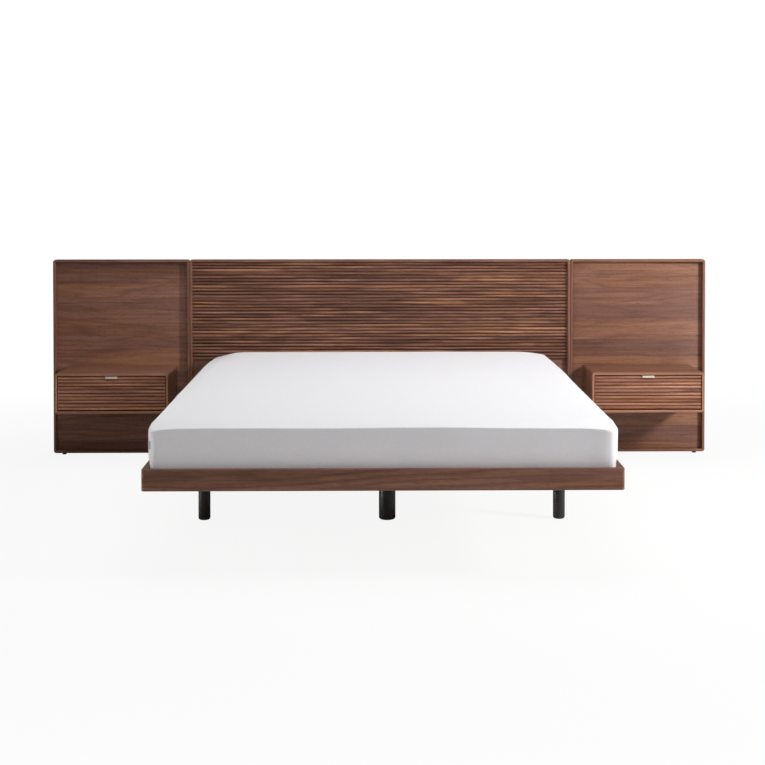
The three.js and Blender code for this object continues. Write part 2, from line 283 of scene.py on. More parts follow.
def wood(name, tones, figure=1.0, streak=1.0, leaf=0.0, groove=0.0, rough=0.46, coat=0.04, pores=1.0):
    """Oiled or lacquered wood. leaf is the height of one leaf of veneer, or 0 for a solid board, and
    groove is how much shade is painted where the piece's own attribute groove says it is deep."""
    material, tree, shader = new_material(
        name, Coat_Weight=coat, Coat_Roughness=0.35, Specular_IOR_Level=0.38
    )
    where = put(tree, "ShaderNodeAttribute", attribute_name="grain").outputs["Vector"]
    tone = put(tree, "ShaderNodeAttribute", attribute_name="board").outputs["Fac"]
    tone = calc(tree, "MULTIPLY", tone, BOARD_TONE)
    gold = 0.0
    if leaf:
        height = put(tree, "ShaderNodeSeparateXYZ", {0: where}).outputs[1]
        number = calc(tree, "FLOOR", calc(tree, "DIVIDE", height, leaf))
        luck = put(tree, "ShaderNodeTexWhiteNoise", {"W": number}, noise_dimensions="1D")
        shift = {0: luck.outputs["Color"], 1: (9, 0.2, 3)}
        away = put(tree, "ShaderNodeVectorMath", shift, operation="MULTIPLY")
        where = put(tree, "ShaderNodeVectorMath", {0: where, 1: away.outputs[0]}).outputs[0]
        spread = calc(tree, "MULTIPLY", calc(tree, "SUBTRACT", luck.outputs[0], 0.5), LEAF_TONE)
        tone = calc(tree, "ADD", tone, spread)
        gold = calc(tree, "MULTIPLY", spread, LEAF_GOLD)
    broad = stretched_noise(tree, where, *BROAD_FIGURE)
    streaks = stretched_noise(tree, where, *STREAKS)
    warm = calc(tree, "ADD", stretched_noise(tree, where, *WARMTH), gold)
    fibre = stretched_noise(tree, where, *FIBRE)
    dashes = stretched_noise(tree, where, *PORES)
    rings = calc(tree, "SINE", calc(tree, "MULTIPLY", broad, RING_LINES))
    rings = calc(tree, "POWER", calc(tree, "MULTIPLY_ADD", rings, 0.5, 0.5), RING_SHARPNESS)
    for part, middle, share in (
        (streaks, 0.5, 1.55 * streak),
        (broad, 0.5, 0.75 * figure),
        (rings, 0.3, -0.20 * figure),
        (fibre, 0.5, 0.45),
    ):
        tone = calc(tree, "ADD", tone, calc(tree, "MULTIPLY", calc(tree, "SUBTRACT", part, middle), share))
    tone = calc(tree, "ADD", tone, 0.5)
    dark, mid, light = tones
    colour = ramp(tree, tone, [(0.08, dark), (0.5, mid), (0.92, light)])
    warm = remap(tree, warm, 0.40, 0.64, 0.0, 1.0)
    colour = blend_colours(tree, "MULTIPLY", warm, colour, WARM_TINT)
    # Painted shade: the colour darkens with depth between the beads, where shade falls in the grooves.
    if groove:
        deep = put(tree, "ShaderNodeAttribute", attribute_name="groove").outputs["Fac"]
        deep = calc(tree, "MULTIPLY", calc(tree, "POWER", deep, 1.6), groove)
        colour = blend_colours(tree, "MULTIPLY", deep, colour, PAINTED_GROOVE_SHADE)
    pore = remap(tree, dashes, 0.60, 0.70, 0.0, 0.5 * pores)
    colour = blend_colours(tree, "MULTIPLY", pore, colour, PORE_TINT)
    dull = remap(tree, fibre, 0.3, 0.7, rough - 0.06, rough + 0.08)
    feed(tree, shader, {"Base Color": colour, "Roughness": dull})
    relief = calc(tree, "SUBTRACT", fibre, calc(tree, "MULTIPLY", pore, 1.6))
    add_bump(tree, shader, relief, 0.35, 0.4 * MM)
    return material


print("wood figure from", len((BROAD_FIGURE, STREAKS, WARMTH, FIBRE, PORES)), "layers of noise")

# %% Walnut and birch
# The dark, middle and light tone of each wood. The left drawer front is given paler tones than the right
# one: painted light, because less light falls on it.
WALNUT_TONES = ((0.102, 0.039, 0.026), (0.205, 0.089, 0.061), (0.352, 0.172, 0.122))
LIPPING_TONES = ((0.19, 0.082, 0.052), (0.34, 0.158, 0.104), (0.50, 0.262, 0.18))
REED_TONES = ((0.066, 0.023, 0.014), (0.182, 0.074, 0.046), (0.46, 0.222, 0.140))
LEFT_DRAWER_PAINTED_LIGHT_TONES = ((0.138, 0.050, 0.030), (0.345, 0.146, 0.090), (0.62, 0.315, 0.200))
RIGHT_DRAWER_TONES = ((0.116, 0.042, 0.024), (0.290, 0.121, 0.074), (0.54, 0.266, 0.167))
BIRCH_TONES = ((0.42, 0.27, 0.14), (0.58, 0.42, 0.25), (0.72, 0.57, 0.38))
walnut = wood("walnut_veneer", WALNUT_TONES, figure=0.65, streak=0.6, leaf=0.083)
walnut_rail = wood("walnut_rail", WALNUT_TONES, figure=1.1, streak=0.5)
walnut_edge = wood("walnut_edging", WALNUT_TONES, figure=0.4)
walnut_case = wood("walnut_case", WALNUT_TONES, figure=0.4, streak=0.6)
walnut_lipping = wood("walnut_lipping", LIPPING_TONES, figure=0.3, streak=0.7)
# groove sets how much shade is painted into the grooves between the beads.
walnut_reeds = wood("walnut_reeds", REED_TONES, figure=0.8, streak=1.2, groove=0.95)
# The left front's paler tones are painted light.
walnut_fronts = {
    "left": wood("walnut_left_front", LEFT_DRAWER_PAINTED_LIGHT_TONES, figure=0.6, streak=1.0, groove=0.7),
    "right": wood("walnut_right_front", RIGHT_DRAWER_TONES, figure=0.6, streak=1.0, groove=0.7),
}
birch = wood("birch", BIRCH_TONES, figure=0.6, streak=0.6, rough=0.55, coat=0.03, pores=0.5)
print("wood finishes", len(bpy.data.materials))

# %% [markdown]
# ## Metal, plastic and cloth finishes
# The legs are sprayed satin black, which leaves a faint orange peel. The pulls are brushed, so fine
# scratches run along them. The runners are zinc plated, with the cloudy look that plating leaves. The
# mattress cover is a close knit: a lattice of small loops that shows on every side of it.

# %% Other finishes
SCUFF_TOP, SCUFF_FULL = 10 * MM, 1 * MM
SCUFF_COLOUR = (0.10, 0.095, 0.09, 1)
METAL_DULLING = 0.12
METAL_BUMP = 0.08


def place_of(tree):
    """The place on the piece, in metres."""
    return put(tree, "ShaderNodeTexCoord").outputs["Object"]


def satin_black():
    """Sprayed satin black, scuffed a little where it meets the floor."""
    material, tree, shader = new_material("satin_black", Coat_Weight=0.15, Coat_Roughness=0.25)
    peel = stretched_noise(tree, place_of(tree), (420, 420, 420), 2, 0.5)
    cloud = stretched_noise(tree, place_of(tree), (14, 14, 9), 4, 0.6)
    colour = ramp(tree, cloud, [(0.3, (0.010, 0.0095, 0.009)), (0.7, (0.021, 0.020, 0.019))])
    height = put(tree, "ShaderNodeSeparateXYZ", {0: place_of(tree)}).outputs[2]
    low = remap(tree, height, SCUFF_TOP, SCUFF_FULL, 0.0, 0.5)
    rubbed = calc(tree, "GREATER_THAN", stretched_noise(tree, place_of(tree), (90, 90, 300), 3, 0.7), 0.52)
    scuff = calc(tree, "MULTIPLY", low, rubbed)
    colour = blend_colours(tree, "MIX", scuff, colour, SCUFF_COLOUR)
    feed(tree, shader, {"Base Color": colour, "Roughness": remap(tree, cloud, 0.3, 0.7, 0.36, 0.48)})
    add_bump(tree, shader, peel, 0.12, 0.4 * MM)
    return material


def metal(name, dark, light, scales, rough, metallic=1.0):
    """Bare metal whose scratches or clouding follow the scales given."""
    material, tree, shader = new_material(name, Metallic=metallic)
    marks = stretched_noise(tree, place_of(tree), scales, 4, 0.6)
    colour = ramp(tree, marks, [(0.3, dark), (0.7, light)])
    dull = remap(tree, marks, 0.3, 0.7, rough - METAL_DULLING / 2, rough + METAL_DULLING)
    feed(tree, shader, {"Base Color": colour, "Roughness": dull})
    add_bump(tree, shader, marks, METAL_BUMP, 0.3 * MM)
    return material


def moulded_plastic():
    """Black plastic with the fine grain of its mould."""
    material, tree, shader = new_material("moulded_plastic")
    speck = stretched_noise(tree, place_of(tree), (700, 700, 700), 2, 0.5)
    colour = ramp(tree, speck, [(0.3, (0.018, 0.017, 0.016)), (0.7, (0.034, 0.032, 0.031))])
    feed(tree, shader, {"Base Color": colour, "Roughness": calc(tree, "MULTIPLY_ADD", speck, 0.2, 0.5)})
    add_bump(tree, shader, speck, 0.2, 0.2 * MM)
    return material


print("scuffs on the legs reach up", SCUFF_TOP, "m")

# %% Cloth finish
def cloth(name, thin, thick, pitch, relief, sheen=0.25, crease=0.0):
    """Knitted or woven cloth: a lattice of loops of the given pitch, with faint soft creases."""
    material, tree, shader = new_material(name, Sheen_Weight=sheen, Sheen_Roughness=0.5, Roughness=0.88)
    split = put(tree, "ShaderNodeSeparateXYZ", {0: place_of(tree)})
    waves = [calc(tree, "SINE", calc(tree, "MULTIPLY", way, math.tau / pitch)) for way in split.outputs[:3]]
    loops = calc(tree, "MULTIPLY", waves[0], waves[1])
    for one, other in ((1, 2), (2, 0)):
        loops = calc(tree, "ADD", loops, calc(tree, "MULTIPLY", waves[one], waves[other]))
    slub = stretched_noise(tree, place_of(tree), (90, 90, 90), 4, 0.65)
    soft = stretched_noise(tree, place_of(tree), (3.2, 3.2, 3.2), 3, 0.55, 0.8)
    amount = calc(tree, "MULTIPLY_ADD", loops, 0.12, calc(tree, "MULTIPLY_ADD", slub, 0.5, 0.25))
    feed(tree, shader, {"Base Color": ramp(tree, amount, [(0.25, thin), (0.75, thick)])})
    add_bump(tree, shader, calc(tree, "MULTIPLY_ADD", slub, 0.8, loops), relief, 0.3 * MM)
    add_bump(tree, shader, soft, crease, 12 * MM)
    return material

# %% Metal, plastic and cloth in use
black_paint = satin_black()
champagne = metal(
    "brushed_champagne", (0.66, 0.585, 0.49), (0.86, 0.785, 0.685), (14, 2400, 2400), 0.42, metallic=0.7
)
zinc = metal("zinc_plate", (0.42, 0.44, 0.46), (0.58, 0.59, 0.60), (60, 60, 60), 0.34)
steel = metal("plated_steel", (0.40, 0.40, 0.41), (0.55, 0.55, 0.55), (160, 160, 160), 0.32)
plastic = moulded_plastic()
knit = cloth("knit_cover", (0.80, 0.79, 0.815), (0.89, 0.88, 0.90), 0.0022, 0.25, crease=0.10)
core_cloth = cloth("ticking", (0.70, 0.69, 0.67), (0.82, 0.81, 0.79), 0.003, 0.4)
label_cloth = cloth("label", (0.36, 0.38, 0.37), (0.47, 0.49, 0.48), 0.0012, 0.3, sheen=0.1)
print("all finishes", len(bpy.data.materials))

# %% [markdown]
# ## Boards
# A planed board never has a knife edge: a pass of sandpaper takes off about a millimetre. Each wooden
# piece is a copy of its CAD node with that easing, and it takes the node's place. Frames and cases are
# mitred at their corners, so they are cut along the mitres first and each member gets its own grain.

# %% Board helpers
GRAIN_ORDER = {"X": (0, 2, 1), "Y": (1, 2, 0), "Z": (2, 0, 1)}
GRAIN_SHIFT = 4
BOARD_SHADE = 0.6
DOUBLES = 0.002 * MM
chance = np.random.default_rng(11)


def open_mesh(mesh):
    """A bmesh to work on, filled from a mesh."""
    bm = bmesh.new()
    bm.from_mesh(mesh)
    return bm


def put_back(bm, made):
    """Writes a bmesh back to its object."""
    bm.to_mesh(made.data)
    bm.free()
    return made


def clean_copy(node, merge=DOUBLES):
    """A CAD node's mesh with its doubles merged and its flat faces joined."""
    bm = open_mesh(frame["nodes"][node].data)
    bmesh.ops.remove_doubles(bm, verts=bm.verts, dist=merge)
    bmesh.ops.dissolve_limit(bm, angle_limit=math.radians(0.5), verts=bm.verts, edges=bm.edges)
    return bm


def lay_grain(bm, pick, tone=0.0):
    """Writes grain and board on every face. pick names the member that a face's middle is in."""
    grain = bm.loops.layers.float_vector.new("grain")
    board = bm.faces.layers.float.new("board")
    members = {}
    for face in bm.faces:
        key, way = pick(face.calc_center_median())
        if key not in members:
            away = Vector(chance.uniform(-GRAIN_SHIFT, GRAIN_SHIFT, 3))
            members[key] = (away, tone + chance.uniform(-BOARD_SHADE, BOARD_SHADE))
        away, shade = members[key]
        face[board] = shade
        for loop in face.loops:
            place = loop.vert.co
            loop[grain] = Vector([place[axis] for axis in GRAIN_ORDER[way]]) + away


def shade_smooth(made):
    made.data.polygons.foreach_set("use_smooth", [True] * len(made.data.polygons))
    return made


def to_object(bm, name, *materials):
    """A new object from a bmesh, shaded smooth."""
    made = put_back(bm, add_object(name, bpy.data.meshes.new(name)))
    for material in materials:
        made.data.materials.append(material)
    return shade_smooth(made)


def settle(made):
    """Turns an object and its modifiers into one plain mesh."""
    graph = bpy.context.evaluated_depsgraph_get()
    mesh = bpy.data.meshes.new_from_object(
        made.evaluated_get(graph), preserve_all_data_layers=True, depsgraph=graph
    )
    mesh.name = made.name
    made.modifiers.clear()
    made.data = mesh
    return made


print("fibre directions", ", ".join(GRAIN_ORDER))

# %% Easing and mitres
ARRIS = 0.9 * MM
ARRIS_STEPS = 3
ARRIS_ANGLE = math.radians(35)
SLIVER = 0.03 * MM
MITRE_SNAP, MITRE_MERGE = 0.1 * MM, 0.15 * MM


def ease(made, width):
    """Rounds every arris, and keeps the flats flat."""
    bevel = made.modifiers.new("arris", "BEVEL")
    bevel.width = width
    bevel.segments = ARRIS_STEPS
    bevel.limit_method = "ANGLE"
    bevel.angle_limit = ARRIS_ANGLE
    bevel.harden_normals = True
    return settle(made)


def drop_slivers(made):
    """Merges the hair-thin faces that easing leaves where a mitre meets an arris."""
    bm = open_mesh(made.data)
    bmesh.ops.remove_doubles(bm, verts=bm.verts, dist=SLIVER)
    bmesh.ops.dissolve_degenerate(bm, edges=bm.edges, dist=SLIVER)
    return put_back(bm, made)


def stand_for(made, node):
    """The piece takes the node's place and body."""
    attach(made, frame["nodes"][node]["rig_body"])
    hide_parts(node)
    return made


def board(node, way, material, slot_name, width=ARRIS, tone=0.0, merge=DOUBLES):
    """One plain board, with its fibres along way."""
    bm = clean_copy(node, merge)
    lay_grain(bm, lambda middle: (0, way), tone)
    return stand_for(ease(to_object(bm, node + "_finished", material), width), node)


def mitred(node, material, width, lipping=None):
    """A frame of four members about an opening that faces along Y. lipping finishes its front edges."""
    low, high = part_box(node)
    bm = clean_copy(node)
    for x, sign in ((low.x, 1), (high.x, -1)):
        for z, side in ((low.z, -1), (high.z, 1)):
            parts = bm.verts[:] + bm.edges[:] + bm.faces[:]
            bmesh.ops.bisect_plane(
                bm, geom=parts, dist=MITRE_SNAP, plane_co=(x, 0, z), plane_no=(1, 0, sign * side)
            )
    bmesh.ops.remove_doubles(bm, verts=bm.verts, dist=MITRE_MERGE)

    def member(middle):
        edges = (middle.x - low.x, high.x - middle.x, middle.z - low.z, high.z - middle.z)
        nearest = edges.index(min(edges))
        return nearest, "Z" if nearest < 2 else "X"

    lay_grain(bm, member)
    materials = [material]
    if lipping:
        materials.append(lipping)
        bm.normal_update()
        for face in bm.faces:
            face.material_index = int(face.normal.y < -0.5)
    eased = ease(to_object(bm, node + "_finished", *materials), width)
    return stand_for(drop_slivers(eased), node)


print("arris", ARRIS, "m in", ARRIS_STEPS, "steps")

# %% Headboard, rails and cases
for side in ("left", "centre", "right"):
    mitred(f"{side}_edge_frame", walnut_edge, 1.2 * MM)
    board(f"{side}_panel", "X", walnut, "walnut", tone=0.2)
board("foot_rail", "X", walnut_rail, "walnut", merge=0.2 * MM)
board("head_rail", "X", walnut_rail, "walnut")
for side in ("left", "right"):
    board(f"side_rail_{side}", "Y", walnut_rail, "walnut", 1.0 * MM)
    board(f"slat_ledge_{side}", "Y", birch, "timber")
    mitred(f"{side}_case_shell", walnut_case, 0.8 * MM, lipping=walnut_lipping)
    board(f"{side}_case_back", "Z", walnut_case, "walnut", 0.5 * MM, tone=-0.8)
    board(f"{side}_drawer_box", "X", birch, "timber", 0.5 * MM)
    board(f"{side}_drawer_bottom", "X", birch, "timber", 0.4 * MM)
board("centre_beam", "Y", birch, "timber")
for row in ("front", "rear"):
    board(f"cross_beam_{row}", "X", birch, "timber", 1.5 * MM)
slats = sorted(name for name in frame["nodes"] if name.startswith("slat_") and name[5:].isdigit())
for name in slats:
    board(name, "X", birch, "timber", 1.5 * MM)

# %% [markdown]
# ## Reeding
# A reeded board is a row of half-round beads with a fine groove between each pair, cut with a moulding
# bit. It repeats by a rule, so Geometry Nodes make it: a grid whose rows are bent into beads by their
# row number, then given a flat back. Every bead gets its own grain and tone, because the real one is
# laid up from strips. The headboard and both drawer fronts use the same tree with other numbers.

# %% Helpers for geometry trees
def group_tree(name, sockets):
    """An empty geometry tree with named inputs. Returns the tree, its inputs and their identifiers."""
    tree = bpy.data.node_groups.new(name, "GeometryNodeTree")
    tree.interface.new_socket("Geometry", in_out="INPUT", socket_type="NodeSocketGeometry")
    names = {}
    for label, kind in sockets:
        made = tree.interface.new_socket(label, in_out="INPUT", socket_type="NodeSocket" + kind)
        names[label] = made.identifier
    tree.interface.new_socket("Geometry", in_out="OUTPUT", socket_type="NodeSocketGeometry")
    return tree, put(tree, "NodeGroupInput").outputs, names


def end_tree(tree, geometry, finish):
    """Realize Instances, Set Material, output."""
    real = put(tree, "GeometryNodeRealizeInstances", {0: geometry})
    dressed = put(tree, "GeometryNodeSetMaterial", {"Geometry": real.outputs[0], "Material": finish})
    put(tree, "NodeGroupOutput", {0: dressed.outputs[0]})


def grow(tree, names, made, values):
    """Runs a tree on an object and leaves a plain mesh."""
    modifier = made.modifiers.new("tree", "NODES")
    modifier.node_group = tree
    for label, value in values.items():
        modifier[names[label]] = value
    return settle(made)


def random_of(tree, kind, low, high, seed, number=None):
    """A fixed random value for each number, or for each element."""
    made = put(tree, "FunctionNodeRandomValue", data_type=kind)
    plain = [socket for socket in made.inputs if socket.enabled]
    plain[0].default_value, plain[1].default_value = low, high
    if number:
        tree.links.new(number, plain[2])
    tree.links.new(seed, plain[3])
    return next(socket for socket in made.outputs if socket.enabled)


def store(tree, geometry, name, kind, domain, value):
    """Writes a named attribute on a geometry."""
    made = put(tree, "GeometryNodeStoreNamedAttribute", {"Geometry": geometry, "Name": name},
               data_type=kind, domain=domain)
    tree.links.new(value, next(s for s in made.inputs if s.name == "Value" and s.enabled))
    return made.outputs[0]


print("helpers for geometry trees are ready")

# %% Reeding tree
REED_COLUMNS = 13


def reeding_tree():
    """A grid bent into beads, with a flat back. Rows of the grid are counted from the bottom bead."""
    tree, given, names = group_tree("reeded board", [
        ("Width", "Float"), ("Pitch", "Float"), ("Groove", "Float"), ("Rise", "Float"), ("Depth", "Float"),
        ("Reeds", "Int"), ("Steps", "Int"), ("Corner", "Vector"), ("Seed", "Int"), ("Finish", "Material"),
    ])
    each = calc(tree, "ADD", given["Steps"], 1.0)
    rows = calc(tree, "MULTIPLY", given["Reeds"], each)
    last = calc(tree, "SUBTRACT", rows, 1.0)
    grid = put(tree, "GeometryNodeMeshGrid",
               {"Size X": given["Width"], "Size Y": last, "Vertices X": REED_COLUMNS, "Vertices Y": rows})
    flat = put(tree, "ShaderNodeSeparateXYZ", {0: put(tree, "GeometryNodeInputPosition").outputs[0]})
    row = calc(tree, "ROUND", calc(tree, "ADD", flat.outputs[1], calc(tree, "MULTIPLY", last, 0.5)))
    reed = calc(tree, "FLOOR", calc(tree, "DIVIDE", calc(tree, "ADD", row, 0.01), each))
    step = calc(tree, "SUBTRACT", row, calc(tree, "MULTIPLY", reed, each))
    angle = calc(tree, "MULTIPLY", calc(tree, "DIVIDE", step, given["Steps"]), math.pi)
    half = calc(tree, "MULTIPLY", calc(tree, "SUBTRACT", given["Pitch"], given["Groove"]), 0.5)
    middle = calc(tree, "MULTIPLY", calc(tree, "ADD", reed, 0.5), given["Pitch"])
    height = calc(tree, "SUBTRACT", middle, calc(tree, "MULTIPLY", half, calc(tree, "COSINE", angle)))
    back = calc(tree, "MULTIPLY", given["Rise"], calc(tree, "SUBTRACT", 1.0, calc(tree, "SINE", angle)))
    across = calc(tree, "ADD", flat.outputs[0], calc(tree, "MULTIPLY", given["Width"], 0.5))
    bent = put(tree, "ShaderNodeCombineXYZ", {0: across, 1: back, 2: height})
    placed = put(tree, "ShaderNodeVectorMath", {0: bent.outputs[0], 1: given["Corner"]})
    sheet = put(tree, "GeometryNodeSetPosition", {"Geometry": grid.outputs[0], "Position": placed.outputs[0]})

    here = put(tree, "GeometryNodeInputPosition").outputs[0]
    inside = put(tree, "ShaderNodeVectorMath", {0: here, 1: given["Corner"]}, operation="SUBTRACT")
    apart = put(tree, "ShaderNodeSeparateXYZ", {0: inside.outputs[0]})
    number = calc(tree, "FLOOR", calc(tree, "DIVIDE", apart.outputs[2], given["Pitch"]))
    number = put(tree, "GeometryNodeFieldOnDomain", {0: number}, data_type="FLOAT", domain="FACE").outputs[0]
    tone = random_of(tree, "FLOAT", -1.0, 1.0, given["Seed"], number)
    away = random_of(tree, "FLOAT_VECTOR", (-6, -2, -2), (6, 2, 2), given["Seed"], number)
    along, inward, upward = apart.outputs[:3]
    fibres = put(tree, "ShaderNodeCombineXYZ", {0: along, 1: upward, 2: inward})
    laid = put(tree, "ShaderNodeVectorMath", {0: fibres.outputs[0], 1: away}).outputs[0]
    # groove is how deep a point lies between the beads; the wood material paints shade from it.
    depth = calc(tree, "DIVIDE", inward, given["Rise"])
    front = store(tree, sheet.outputs[0], "groove", "FLOAT", "POINT", depth)
    front = store(tree, front, "board", "FLOAT", "FACE", tone)
    front = store(tree, front, "grain", "FLOAT_VECTOR", "CORNER", laid)

    pushed = put(tree, "GeometryNodeExtrudeMesh", {"Mesh": front, "Offset Scale": 0.001, "Individual": False})
    spot = put(tree, "ShaderNodeSeparateXYZ", {0: put(tree, "GeometryNodeInputPosition").outputs[0]})
    near = put(tree, "ShaderNodeSeparateXYZ", {0: given["Corner"]})
    plane = calc(tree, "ADD", near.outputs[1], given["Depth"])
    flat_back = put(tree, "ShaderNodeCombineXYZ", {0: spot.outputs[0], 1: plane, 2: spot.outputs[2]})
    body = put(tree, "GeometryNodeSetPosition", {
        "Geometry": pushed.outputs["Mesh"], "Selection": pushed.outputs["Top"],
        "Position": flat_back.outputs[0],
    })
    body = put(tree, "GeometryNodeFlipFaces", {"Mesh": body.outputs[0]})
    joined = put(tree, "GeometryNodeJoinGeometry")
    tree.links.new(front, joined.inputs[0])
    tree.links.new(body.outputs[0], joined.inputs[0])
    closed = put(tree, "GeometryNodeMergeByDistance", {"Geometry": joined.outputs[0], "Distance": 1e-6})
    end_tree(tree, closed.outputs[0], given["Finish"])
    return tree, names


REED_TREE, REED_NAMES = reeding_tree()
print("nodes in the reeding tree", len(REED_TREE.nodes))

# %% Reeded headboard
REED_STEPS = 10
REED_GROOVE = 1.4 * MM
REED_RISE = 6.2 * MM
HEADBOARD_REEDS = 30
DRAWER_REEDS = 10
CREASE_ANGLE = math.radians(50)


def empty_object(name, points=()):
    """An object that holds loose points or nothing, for a tree to fill."""
    made = add_object(name, bpy.data.meshes.new(name))
    made.data.from_pydata(list(points), [], [])
    return made


def outward(made):
    """Turns every face of a closed piece outwards."""
    bm = open_mesh(made.data)
    bmesh.ops.recalc_face_normals(bm, faces=bm.faces)
    return put_back(bm, made)


def reeded(node, reeds, seed, finish):
    """A reeded board that fills a CAD node's box."""
    low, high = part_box(node)
    made = grow(REED_TREE, REED_NAMES, empty_object(node + "_finished"), {
        "Width": high.x - low.x, "Pitch": (high.z - low.z) / reeds, "Groove": REED_GROOVE,
        "Rise": REED_RISE, "Depth": high.y - low.y, "Reeds": reeds, "Steps": REED_STEPS,
        "Corner": tuple(low), "Seed": seed, "Finish": finish,
    })
    shade_smooth(made).data.set_sharp_from_angle(angle=CREASE_ANGLE)
    return outward(made)


stand_for(reeded("centre_reeding", HEADBOARD_REEDS, 4, walnut_reeds), "centre_reeding")
print("beads", HEADBOARD_REEDS, "on the headboard and", DRAWER_REEDS, "on each drawer")

# %% [markdown]
# ## Drawer fronts and pulls
# A drawer front is a smaller reeded board with a seat cut in its upper edge, and a short metal strip
# is let into the seat as a finger pull. The seat could be modelled with the board, but a Boolean keeps
# the board's own rule and leaves an even gap all round the pull.

# %% Drawer fronts and pulls
PULL_PLAY = 0.3 * MM
PULL_SEAT = 1.8 * MM
CUTTER_SPARE = 10 * MM


def notch_for(front, side):
    """Cuts the seat of the pull out of a drawer front. The cutter stands out above and before it."""
    low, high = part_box(f"{side}_pull")
    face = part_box(f"{side}_drawer_front")[0].y
    bm = bmesh.new()
    bmesh.ops.create_cube(bm, size=1)
    wide, deep = high.x - low.x + 2 * PULL_PLAY, high.y - face + PULL_PLAY + CUTTER_SPARE
    size = Vector((wide, deep, PULL_SEAT + CUTTER_SPARE))
    top = high.z + CUTTER_SPARE
    middle = Vector(((low.x + high.x) / 2, face - CUTTER_SPARE + size.y / 2, top - size.z / 2))
    for vertex in bm.verts:
        vertex.co = Vector([c * s for c, s in zip(vertex.co, size)]) + middle
    cutter = to_object(bm, "cutter")
    cut = front.modifiers.new("notch", "BOOLEAN")
    cut.operation = "DIFFERENCE"
    cut.solver = "EXACT"
    cut.object = cutter
    settle(front)
    bpy.data.objects.remove(cutter)
    return front


for seed, side in enumerate(("left", "right")):
    front = notch_for(reeded(f"{side}_drawer_front", DRAWER_REEDS, 20 + seed, walnut_fronts[side]), side)
    stand_for(front, f"{side}_drawer_front")
    pull = to_object(clean_copy(f"{side}_pull"), f"{side}_pull_finished", champagne)
    stand_for(ease(pull, 0.5 * MM), f"{side}_pull")

# %% [markdown]
# ## Legs and glides
# A turned post is a profile spun about an axis. The CAD post has few sides; this one has enough to look
# round, and the arris where it meets the floor is a full soft radius.

# %% Legs
TOP_EASE = 0.6 * MM
LEG_ROUNDING = 8 * MM
GLIDE_ROUNDING = 1.2 * MM


def skin(bm, rings):
    """Joins each ring of points to the next one with faces."""
    count = len(rings[0])
    for lower, upper in zip(rings, rings[1:]):
        for i in range(count):
            j = (i + 1) % count
            bm.faces.new((lower[i], lower[j], upper[j], upper[i]))


def turned(name, node, rounding, material, sides=64, steps=8):
    """A round post with a rounded foot, standing where the node stands."""
    low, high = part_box(node)
    centre = (low + high) / 2
    radius = (high.x - low.x) / 2
    profile = [(radius - rounding + rounding * math.sin(a), rounding - rounding * math.cos(a))
               for a in np.linspace(0, math.pi / 2, steps)]
    top = high.z - low.z
    profile += [(radius, top - TOP_EASE), (radius - TOP_EASE, top)]
    bm = bmesh.new()
    rings = []
    for r, z in profile:
        rings.append([bm.verts.new((centre.x + r * math.cos(t), centre.y + r * math.sin(t), low.z + z))
                      for t in np.linspace(0, math.tau, sides, endpoint=False)])
    skin(bm, rings)
    bm.faces.new(reversed(rings[0]))
    bm.faces.new(rings[-1])
    made = to_object(bm, name, material)
    made.data.set_sharp_from_angle(angle=CREASE_ANGLE)
    return stand_for(made, node)


for row in ("front", "rear"):
    for side in ("left", "centre", "right"):
        node = f"leg_{row}_{side}"
        turned(node + "_finished", node, LEG_ROUNDING, black_paint)
for side in ("left", "centre", "right"):
    turned(f"{side}_panel_foot_finished", f"{side}_panel_foot", GLIDE_ROUNDING, plastic, 40, 4)
runners = [name for name in frame["nodes"] if "runner" in name]
for name in runners:
    frame["nodes"][name].data.materials.clear()
    frame["nodes"][name].data.materials.append(zinc)
print("legs and glides are turned, and", len(runners), "runner channels are plated")

# %% [markdown]
# ## Mattress
# A mattress is a stuffed block: its panels swell between the seams that hold its edges. The block is
# lofted from rounded rings, close together where it turns an edge, and a cloth simulation with air
# pressure inside it and its seam lines held lets the panels swell. The swelling is then limited to
# what a firm mattress shows.

# %% Mattress shape
mattress_low, mattress_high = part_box("mattress")
FOOT_CORNER = 40 * MM
HEAD_CORNER = 78 * MM
EDGE_ZONE = 32 * MM
TOP_EDGE = 11 * MM
BOTTOM_EDGE = 20 * MM
START_INSET = -9.0 * MM  # the sides start outside the plan, and hold_waist draws them in
TOP_SETBACK, BOTTOM_SETBACK = 6 * MM, 0.5 * MM
TOP_INSETS = (705, 600, 480, 370, 280, 210, 155, 112, 80, 58, 42, 32)
BOTTOM_INSETS = (32, 50, 80, 140, 260, 480, 705)
STEPS_ACROSS, STEPS_ALONG, STEPS_TURN = 62, 84, 10


def corner_radius(end, inset, half_x):
    """The plan radius at one end: an even offset at the edges, and wider further in."""
    radius = (HEAD_CORNER if end > 0 else FOOT_CORNER) - min(inset, EDGE_ZONE)
    return min(radius + max(inset - EDGE_ZONE, 0) * 0.6, half_x * 0.9)


